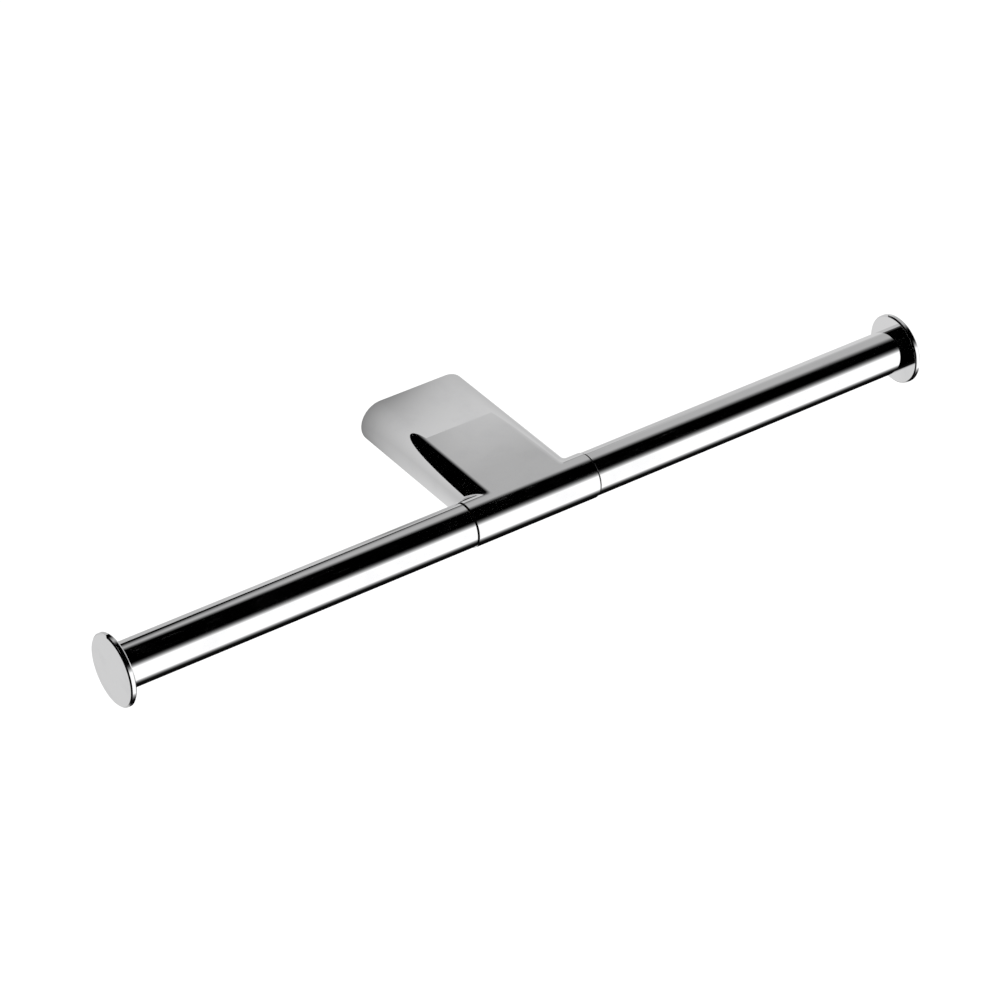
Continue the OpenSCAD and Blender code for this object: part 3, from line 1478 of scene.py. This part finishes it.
@dataclass(frozen=True)
class ChromeFinish:
    """Bright chrome plate with faint haze, hairlines and a slow ripple, and shade painted into its
    seam grooves and bores.

    Attributes:
        name: Name of the material.
        colour: Colour of the clean plate.
        hazed: Colour under haze.
        roughness: Roughness of the clean plate.
        haze: Roughness that haze adds.
        hairline: Roughness that a hairline adds.
        haze_scale: Patches of haze in a metre.
        ripple: Height of the ripple.
        at_seam: Whether the piece borders on a seam's groove, and so gets the painted shade.
        painted_shade: Dark colour painted into that groove and the bores as shade.
        painted_shade_roughness: Roughness of that painted shade.
    """

    name: str
    colour: Colour = (0.907, 0.907, 0.912, 1.0)
    hazed: Colour = (0.877, 0.877, 0.884, 1.0)
    roughness: float = 0.02
    haze: float = 0.035
    hairline: float = 0.09
    haze_scale: float = 95.0
    ripple: float = 0.0012 * MM
    at_seam: bool = True
    # Dark, dull colour painted into the seam grooves and bores as shade.
    painted_shade: Colour = (0.022, 0.023, 0.025, 1.0)
    painted_shade_roughness: float = 0.55

    def material(self) -> bpy.types.Material:
        """Builds the material.

        Returns:
            The finished material.
        """
        metal = Metal(self.name)
        wiring = metal.wiring
        marks = metal.shared(HandlingMarks, Haze_Scale=self.haze_scale)
        colour = wiring.tint(marks["Haze"], self.colour, self.hazed)
        hazed = wiring.mix(marks["Haze"], self.roughness, self.roughness + self.haze)
        rough = wiring.total(hazed, wiring.product(marks["Hairlines"], self.hairline))
        # Painted shade: the seam grooves and bores get a dark, dull colour where they would lie in
        # shadow.
        if self.at_seam:
            painted_shade = metal.shared(PaintedSeamShade)["Painted Shade"]
            colour = wiring.tint(painted_shade, colour, self.painted_shade)
            rough = wiring.mix(painted_shade, rough, self.painted_shade_roughness)
        return metal.finish(colour, rough, marks["Ripple"], self.ripple)


@dataclass(frozen=True)
class WorkedMetal:
    """Unplated or oxidised metal with the grain of the tool that made it.

    Attributes:
        name: Name of the material.
        light: Colour of the crests of the grain.
        dark: Colour of its hollows.
        roughness: Roughness of the crests.
        rougher: Roughness of the hollows.
        stretch: Grains in a metre along X, Y and Z.
        depth: Height of the grain.
        blotched: Share that broad blotches have in colour and roughness.
    """

    name: str
    light: Colour
    dark: Colour
    roughness: float
    rougher: float
    stretch: tuple[float, float, float]
    depth: float
    blotched: float = 0.45

    def material(self) -> bpy.types.Material:
        """Builds the material.

        Returns:
            The finished material.
        """
        metal = Metal(self.name)
        wiring = metal.wiring
        grain = metal.shared(ToolGrain, Stretch=self.stretch)
        shade = wiring.mix(self.blotched, grain["Grain"], grain["Blotch"])
        colour = wiring.tint(shade, self.dark, self.light)
        rough = wiring.mix(shade, self.rougher, self.roughness)
        return metal.finish(colour, rough, grain["Grain"], self.depth)


# Studio and camera


@dataclass(frozen=True)
class PhotoCamera:
    """The camera, fitted to the photograph.

    Attributes:
        lens: Focal length in millimetres.
        sensor: Width of the sensor in millimetres.
        picture: Pixels on each side of the square picture.
        azimuth: Degrees to the left of straight in front.
        elevation: Degrees above the arms.
        roll: Degrees that the picture leans.
        distance: Distance to the barrel's middle along the line of sight.
        middle: Pixel of the barrel's middle.
    """

    lens: float = 141.44
    sensor: float = 36.0
    picture: int = 1000
    azimuth: float = -34.78
    elevation: float = 35.40
    roll: float = -0.369
    distance: float = 1341.3 * MM
    middle: tuple[float, float] = (526.705, 500.052)

    def build(self, target: Vector) -> None:
        """Sets the camera up and makes it the scene's own.

        Args:
            target: The barrel's middle.
        """
        a, e, roll = (math.radians(v) for v in (self.azimuth, self.elevation, self.roll))
        back = Vector((math.sin(a) * math.cos(e), -math.cos(a) * math.cos(e), math.sin(e)))
        level = Vector((math.cos(a), math.sin(a), 0))
        upright = back.cross(level)
        right = math.cos(roll) * level + math.sin(roll) * upright
        up = math.cos(roll) * upright - math.sin(roll) * level
        focal = self.lens / self.sensor * self.picture
        aside = (self.middle[0] - self.picture / 2) / focal * self.distance
        above = (self.picture / 2 - self.middle[1]) / focal * self.distance
        data = bpy.data.cameras.new("photo_camera")
        data.lens = self.lens
        data.sensor_width = self.sensor
        data.clip_start = 0.05
        data.clip_end = 60
        camera = bpy.data.objects.new("photo_camera", data)
        bpy.context.scene.collection.objects.link(camera)
        camera.rotation_mode = "QUATERNION"
        camera.rotation_quaternion = Matrix((right, up, back)).transposed().to_quaternion()
        camera.location = target - right * aside - up * above + back * self.distance
        bpy.context.scene.camera = camera


@dataclass(frozen=True)
class CardEdge:
    """A straight soft edge of an overhead card, on the plane of all rays that rise by 1.

    Attributes:
        point: A point of the edge, along the arms and towards the wall.
        across: Direction across the edge, into the card.
        fall: Share of the card's level at each distance from the edge.
    """

    point: tuple[float, float]
    across: tuple[float, float]
    fall: Step

    def share(self, wiring: Wiring, along: Signal, back: Signal) -> bpy.types.NodeSocket:
        """Wires the edge.

        Args:
            wiring: The world's tree.
            along: Place along the arms.
            back: Place towards the wall.

        Returns:
            The share of the card's level that the edge leaves.
        """
        distances = [
            wiring.product(wiring.calc("SUBTRACT", place, start), way)
            for place, start, way in zip((along, back), self.point, self.across)
        ]
        return wiring.ramp(wiring.total(*distances), self.fall)


@dataclass(frozen=True)
class StudioWorld:
    """White surroundings with the dark and grey cards that bright metal mirrors.

    The cards are part of the world and are seen only by mirrored rays, so they tint nothing.
    Directions are those of a mirrored ray: x along the arms, y towards the wall, z up.

    Attributes:
        white: Level of the white front.
        front_top: Height over which the white front ends.
        front_fall: How steeply it ends.
        front_left: Share of its level from the left to the middle.
        front_right: Share of its level towards the far right.
        front_back: Where the back takes over from the front.
        twice: Ray depth over which a mirror image is seen in a second mirror.
        dark_left: Where the unlit left ends, on x - y.
        dark_left_twice: Where it ends for what was mirrored twice, on x.
        flag_edge: Slant of the ray at which the dark flag below ends.
        flag_fall: How steeply it ends.
        flag_least: Least share of the level on the flag.
        flag_back: Stretch of the slant towards the wall, from left to right.
        flag_end: Slant along the arms at which the flag ends.
        sky: Level of the grey card over the back.
        sky_front: Its slanted front edge.
        sky_left: Its slanted left edge.
        far: Level towards a wall far away.
        far_top: Height over which that wall ends.
        overhead: Level straight above.
        overhead_edge: Height at which that card starts.
        least: Least rise of a ray, so that a slant stays finite.
    """

    white: float = 1.12
    front_top: Step = Step(0.235, 0.62, 1.0, 0.0, "LINEAR")
    front_fall: float = 2.35
    front_left: Step = Step(-0.60, 0.30, 0.74, 1.0)
    front_right: Step = Step(0.62, 0.80, 1.0, 0.78)
    front_back: Step = Step(-0.25, -0.05)
    twice: float = 2.5
    dark_left: Step = Step(-0.06, 0.06)
    dark_left_twice: Step = Step(-0.25, 0.05)
    flag_edge: float = 0.735
    flag_fall: float = 3.0
    flag_least: float = 0.006
    flag_back: Step = Step(0.15, 0.42, 2.2, 0.35)
    flag_end: Step = Step(1.0, 2.2)
    sky: float = 0.455
    sky_front: CardEdge = CardEdge((0.447, 0.462), (0.882, 0.471), Step(-0.09, 0.20))
    sky_left: CardEdge = CardEdge((0.469, 1.035), (0.843, -0.538), Step(-0.08, 0.22))
    far: float = 0.55
    far_top: Step = Step(0.05, 0.25, 1.0, 0.0)
    overhead: float = 0.62
    overhead_edge: Step = Step(0.935, 0.98)
    least: float = 0.001

    def build(self) -> None:
        """Builds the world: white to the camera, plain to diffuse rays, cards to mirrored ones."""
        world = bpy.data.worlds.new("studio")
        world.use_nodes = True
        bpy.context.scene.world = world
        world.node_tree.nodes.clear()
        wiring = Wiring(world.node_tree)
        x, y, z = wiring.axes(wiring.node("ShaderNodeTexCoord").outputs["Generated"])
        rays = wiring.node("ShaderNodeLightPath").outputs
        front = self._front(wiring, x, y, z, rays["Ray Depth"])
        cards = wiring.mix(wiring.ramp(y, self.front_back), front, self._back(wiring, x, y, z))
        cards = wiring.product(cards, self._flag(wiring, x, y, z))
        cards = wiring.mix(wiring.ramp(z, self.overhead_edge), cards, self.overhead)
        level = wiring.mix(rays["Is Glossy Ray"], 1.0, cards)
        level = wiring.mix(rays["Is Camera Ray"], level, 1.0)
        light = wiring.node("ShaderNodeBackground", {"Color": WHITE, "Strength": level})
        wiring.node("ShaderNodeOutputWorld", {"Surface": light.outputs[0]})

    def _front(
        self, wiring: Wiring, x: Signal, y: Signal, z: Signal, depth: Signal
    ) -> bpy.types.NodeSocket:
        """Wires the white front, dark above its soft top edge and on its unlit left.

        Args:
            wiring: The world's tree.
            x: Direction along the arms.
            y: Direction towards the wall.
            z: Direction up.
            depth: How often the ray was mirrored, and one more.

        Returns:
            Its level.
        """
        top = wiring.calc("POWER", wiring.ramp(z, self.front_top), self.front_fall)
        once = wiring.ramp(wiring.calc("SUBTRACT", x, y), self.dark_left)
        again = wiring.calc("GREATER_THAN", depth, self.twice)
        lit = wiring.mix(again, once, wiring.ramp(x, self.dark_left_twice))
        left = wiring.ramp(x, self.front_left)
        right = wiring.ramp(x, self.front_right)
        return wiring.product(top, self.white, lit, left, right)

    def _flag(self, wiring: Wiring, x: Signal, y: Signal, z: Signal) -> bpy.types.NodeSocket:
        """Wires the long dark flag straight below the arms.

        Args:
            wiring: The world's tree.
            x: Direction along the arms.
            y: Direction towards the wall.
            z: Direction up.

        Returns:
            The share of the level that it leaves.
        """
        down = wiring.calc("MAXIMUM", wiring.product(z, -1.0), self.least)
        behind = wiring.product(y, wiring.ramp(x, self.flag_back))
        away = wiring.calc("MAXIMUM", wiring.product(y, -1.0), behind)
        slant = wiring.calc("DIVIDE", away, down)
        edge = wiring.calc("MINIMUM", wiring.calc("DIVIDE", slant, self.flag_edge), 1.0)
        fall = wiring.calc("POWER", edge, self.flag_fall)
        clear = wiring.calc("MAXIMUM", fall, self.flag_least)
        along = wiring.calc("DIVIDE", wiring.calc("ABSOLUTE", x), down)
        return wiring.calc("MAXIMUM", clear, wiring.ramp(along, self.flag_end))

    def _back(self, wiring: Wiring, x: Signal, y: Signal, z: Signal) -> bpy.types.NodeSocket:
        """Wires the grey card over the back, and the far wall below it.

        Args:
            wiring: The world's tree.
            x: Direction along the arms.
            y: Direction towards the wall.
            z: Direction up.

        Returns:
            Its level.
        """
        up = wiring.calc("MAXIMUM", z, self.least)
        along = wiring.calc("DIVIDE", x, up)
        back = wiring.calc("DIVIDE", y, up)
        shares = (edge.share(wiring, along, back) for edge in (self.sky_front, self.sky_left))
        return wiring.mix(wiring.ramp(z, self.far_top), wiring.product(*shares, self.sky), self.far)


@dataclass(frozen=True)
class WallCard:
    """The pale wall behind the holder, which only mirrored rays see: a glowing card with its light
    and the bracket's shadow painted in.

    Attributes:
        width: Its width.
        top: Its top edge.
        rim: Height of the faint glow over that edge.
        bottom: Its bottom edge.
        y: Its place, just in front of the wall.
        left: Level from the left to the middle.
        left_end: Light that is added at the left end.
        right_end: Light that is added at the right end.
        far_left: Light that is added far out on the left.
        spot_x: Place of a soft spot behind the right arm.
        spot: Light of the spot at each distance from that place.
        spot_top: Share of it at each height.
        near: Share of the bracket's own light at each distance from the middle.
        above: Part of that light above the arms.
        below: Part of it below the arms, from left to right.
        foot: Light that is added low on the card.
        foot_start: Share of it from the middle to the right.
        contact: Share of light that the bracket's shadow takes, from left to right.
        contact_reach: Distance in which that shadow fades.
        glow: Level of the glow over the top edge.
        glow_start: Share of it from the middle to the right.
    """

    width: float = 2.4
    top: float = 32 * MM
    rim: float = 24 * MM
    bottom: float = -86 * MM
    y: float = -0.02 * MM
    left: Step = Step(-130 * MM, -60 * MM, 0.51, 0.56)
    left_end: Step = Step(-195 * MM, -140 * MM, 0.165, 0.0)
    right_end: Step = Step(100 * MM, 190 * MM, 0.0, 0.11)
    far_left: Step = Step(-700 * MM, -250 * MM, 0.45, 0.0)
    spot_x: float = 113 * MM
    spot: Step = Step(12 * MM, 26 * MM, 0.14, 0.0)
    spot_top: Step = Step(-14 * MM, -26 * MM)
    near: Step = Step(66 * MM, 106 * MM, 1.0, 0.0)
    above: Step = Step(0.0, 32 * MM, 0.0, 0.09, "LINEAR")
    below: Step = Step(-10 * MM, 30 * MM, 0.20, 0.36)
    foot: Step = Step(-36 * MM, -52 * MM, 0.0, 0.10)
    foot_start: Step = Step(120 * MM, 150 * MM)
    contact: Step = Step(-14 * MM, 18 * MM, 0.55, 0.10)
    contact_reach: float = 12 * MM
    glow: float = 0.12
    glow_start: Step = Step(0.0, 30 * MM)

    def build(self) -> None:
        """Makes the card."""
        Bench.clear()
        crown = self.top + self.rim
        bpy.ops.mesh.primitive_plane_add(
            size=1,
            location=(0, self.y, (crown + self.bottom) / 2),
            rotation=(math.pi / 2, 0, 0),
        )
        card = bpy.context.object
        card.name = "wall_card"
        card.scale = (self.width, crown - self.bottom, 1)
        bpy.ops.object.transform_apply()
        card.visible_camera = False
        card.visible_diffuse = False
        card.visible_transmission = False
        card.visible_shadow = False
        card.data.materials.append(self._material(crown))

    def _material(self, crown: float) -> bpy.types.Material:
        """Builds the card's own light, clear above its top edge.

        Args:
            crown: Height at which the glow ends.

        Returns:
            The material.
        """
        material = bpy.data.materials.new("wall_card")
        material.use_nodes = True
        material.node_tree.nodes.clear()
        wiring = Wiring(material.node_tree)
        place = wiring.node("ShaderNodeTexCoord").outputs["Object"]
        across, _, high = wiring.axes(place)
        level = wiring.product(self._level(wiring, across, high), self._lit(wiring, across, high))
        over = wiring.calc("GREATER_THAN", high, self.top)
        fading = wiring.ramp(high, Step(self.top, crown, self.glow, 0.0, "LINEAR"))
        glow = wiring.product(fading, wiring.ramp(across, self.glow_start))
        light = wiring.node("ShaderNodeEmission", {"Strength": wiring.mix(over, level, glow)})
        clear = wiring.node("ShaderNodeBsdfTransparent", {"Color": wiring.tint(over, BLACK, WHITE)})
        both = wiring.node("ShaderNodeAddShader", {0: light.outputs[0], 1: clear.outputs[0]})
        wiring.node("ShaderNodeOutputMaterial", {"Surface": both.outputs[0]})
        return material

    def _level(self, wiring: Wiring, across: Signal, high: Signal) -> Signal:
        """Wires the card's light before the bracket's shadow.

        Args:
            wiring: The material's tree.
            across: Place along the arms.
            high: Height.

        Returns:
            The level.
        """
        from_spot = wiring.calc("ABSOLUTE", wiring.calc("SUBTRACT", across, self.spot_x))
        spot = wiring.product(wiring.ramp(from_spot, self.spot), wiring.ramp(high, self.spot_top))
        low = wiring.ramp(high, Step(0.0, self.bottom, course="LINEAR"))
        below = wiring.product(low, wiring.ramp(across, self.below))
        near = wiring.ramp(wiring.calc("ABSOLUTE", across), self.near)
        own = wiring.product(near, wiring.total(wiring.ramp(high, self.above), below))
        foot = wiring.product(wiring.ramp(high, self.foot), wiring.ramp(across, self.foot_start))
        return wiring.total(
            wiring.ramp(across, self.left),
            wiring.ramp(across, self.left_end),
            spot,
            wiring.ramp(across, self.right_end),
            own,
            foot,
            wiring.ramp(across, self.far_left),
        )

    def _lit(self, wiring: Wiring, across: Signal, high: Signal) -> Signal:
        """Wires the painted soft shadow round the bracket's foot.

        Args:
            wiring: The material's tree.
            across: Place along the arms.
            high: Height.

        Returns:
            The share of light that it leaves.
        """
        aside = wiring.calc("SUBTRACT", wiring.calc("ABSOLUTE", across), Bracket.side_x)
        away = wiring.length(wiring.calc("MAXIMUM", aside, 0.0), high)
        gap = wiring.calc("MAXIMUM", wiring.calc("SUBTRACT", away, Bracket.radius), 0.0)
        fade = wiring.calc("EXPONENT", wiring.calc("DIVIDE", gap, -self.contact_reach))
        taken = wiring.product(fade, wiring.ramp(across, self.contact))
        return wiring.calc("SUBTRACT", 1.0, taken)


@dataclass(frozen=True)
class Floor:
    """The pale floor, white to the camera but for the holder's soft shadow.

    Attributes:
        z: Its height.
        size: Its side.
        paint: Its colour.
        lift: Light of its own that the camera sees.
    """

    z: float = -170 * MM
    size: float = 30.0
    paint: Colour = (0.86, 0.86, 0.86, 1.0)
    lift: float = 0.12

    def build(self) -> None:
        """Makes the floor, which is clear from below."""
        Bench.clear()
        bpy.ops.mesh.primitive_plane_add(size=self.size, location=(0, 0, self.z))
        floor = bpy.context.object
        floor.name = "floor"
        bpy.ops.object.transform_apply()
        floor.visible_glossy = False
        material = bpy.data.materials.new("pale_floor")
        material.use_nodes = True
        nodes = material.node_tree.nodes
        wiring = Wiring(material.node_tree)
        rays = wiring.node("ShaderNodeLightPath")
        for name, value in {
            "Base Color": self.paint,
            "Roughness": 0.9,
            "Specular IOR Level": 0.0,
            "Emission Color": WHITE,
            "Emission Strength": wiring.product(rays.outputs["Is Camera Ray"], self.lift),
        }.items():
            wiring.feed(nodes["Principled BSDF"].inputs[name], value)
        below = wiring.node("ShaderNodeNewGeometry").outputs["Backfacing"]
        clear = wiring.node("ShaderNodeBsdfTransparent").outputs[0]
        paint = nodes["Principled BSDF"].outputs[0]
        both = wiring.node("ShaderNodeMixShader", {0: below, 1: paint, 2: clear})
        wiring.feed(nodes["Material Output"].inputs["Surface"], both.outputs[0])
        floor.data.materials.append(material)


@dataclass(frozen=True)
class Lamp:
    """One broad soft lamp overhead, for the shadow on the floor.

    Attributes:
        place: Where it hangs.
        size: Its length and width.
        power: Its power in watts.
    """

    place: tuple[float, float, float] = (-0.1, -0.2, 1.3)
    size: tuple[float, float] = (1.2, 0.8)
    power: float = 4.0

    def build(self) -> None:
        """Hangs the lamp."""
        data = bpy.data.lights.new("overhead", "AREA")
        data.shape = "RECTANGLE"
        data.size, data.size_y = self.size
        data.energy = self.power
        lamp = bpy.data.objects.new("overhead", data)
        lamp.location = self.place
        lamp.visible_glossy = False
        bpy.context.scene.collection.objects.link(lamp)


@dataclass(frozen=True)
class Dressing:
    """Gives pieces their finish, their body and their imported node."""

    finishes: dict[Slot, bpy.types.Material]

    def stand_for(self, piece: bpy.types.Object, node: str, slot: Slot) -> None:
        """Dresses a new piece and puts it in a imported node's place.

        Args:
            piece: The finished piece.
            node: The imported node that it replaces.
            slot: The record's material slot of its finish.
        """
        piece.data.materials.clear()
        piece.data.materials.append(self.finishes[slot])
        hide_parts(node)
        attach(piece, BODY)
        LOG.info("%s stands for %s, %d faces", piece.name, node, len(piece.data.polygons))

    def keep(self, node: str, slot: Slot) -> None:
        """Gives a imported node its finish.

        Args:
            node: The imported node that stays.
            slot: The record's material slot of its finish.
        """
        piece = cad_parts[node]
        piece.data.materials.clear()
        piece.data.materials.append(self.finishes[slot])
        LOG.info("%s stays as packed", node)


def make_finishes() -> dict[Slot, bpy.types.Material]:
    """Builds one material for each slot.

    Returns:
        The materials by slot.
    """
    steel = WorkedMetal(
        "brushed_plate_steel",
        light=(0.66, 0.67, 0.68, 1.0),
        dark=(0.50, 0.51, 0.52, 1.0),
        roughness=0.24,
        rougher=0.40,
        stretch=(90.0, 4200.0, 4200.0),
        depth=0.012 * MM,
    )
    oxide = WorkedMetal(
        "oiled_fastener_steel",
        light=(0.135, 0.138, 0.145, 1.0),
        dark=(0.070, 0.072, 0.078, 1.0),
        roughness=0.30,
        rougher=0.46,
        stretch=(5200.0, 700.0, 700.0),
        depth=0.006 * MM,
    )
    brass = WorkedMetal(
        "turned_brass",
        light=(0.83, 0.66, 0.33, 1.0),
        dark=(0.68, 0.50, 0.22, 1.0),
        roughness=0.22,
        rougher=0.38,
        stretch=(6200.0, 240.0, 240.0),
        depth=0.008 * MM,
    )
    disc = ChromeFinish("plated_disc_chrome", haze_scale=120.0, roughness=0.025, at_seam=False)
    return {
        Slot.CASTING: ChromeFinish("plated_bracket_chrome").material(),
        Slot.TUBE: ChromeFinish("plated_tube_chrome", haze_scale=80.0).material(),
        Slot.DISC: disc.material(),
        Slot.PLATE: steel.material(),
        Slot.FASTENER: oxide.material(),
        Slot.INSERT: brass.material(),
    }


def main() -> None:
    """Builds the camera and the studio, then the holder's pieces from the wall outwards."""
    logging.basicConfig(level=logging.INFO, format="%(name)s: %(message)s")
    lathe = Lathe()
    PhotoCamera().build(Vector((0, lathe.axis_y, 0)))
    for part in (StudioWorld(), WallCard(), Floor(), Lamp()):
        part.build()
    bpy.context.scene.view_settings.view_transform = "Standard"
    dressing = Dressing(make_finishes())
    dressing.keep("wall_plate", Slot.PLATE)
    dressing.stand_for(Bracket(lathe).build(), "bracket_body", Slot.CASTING)
    dressing.stand_for(SetScrew().build(), "set_screw", Slot.FASTENER)
    for maker, node, slot in (
        (ArmStud(lathe), "arm_stud", Slot.FASTENER),
        (TubeInsert(lathe), "tube_insert", Slot.INSERT),
        (ArmTube(lathe), "arm_tube", Slot.TUBE),
        (EndDisc(lathe), "end_disc", Slot.DISC),
    ):
        right = maker.build()
        left = Bench.half_turn_copy(right, right.name.replace("right", "left"), lathe.axis_y)
        dressing.stand_for(right, f"right_{node}", slot)
        dressing.stand_for(left, f"left_{node}", slot)
    LOG.info("sizes written")


if __name__ == "__main__":
    main()
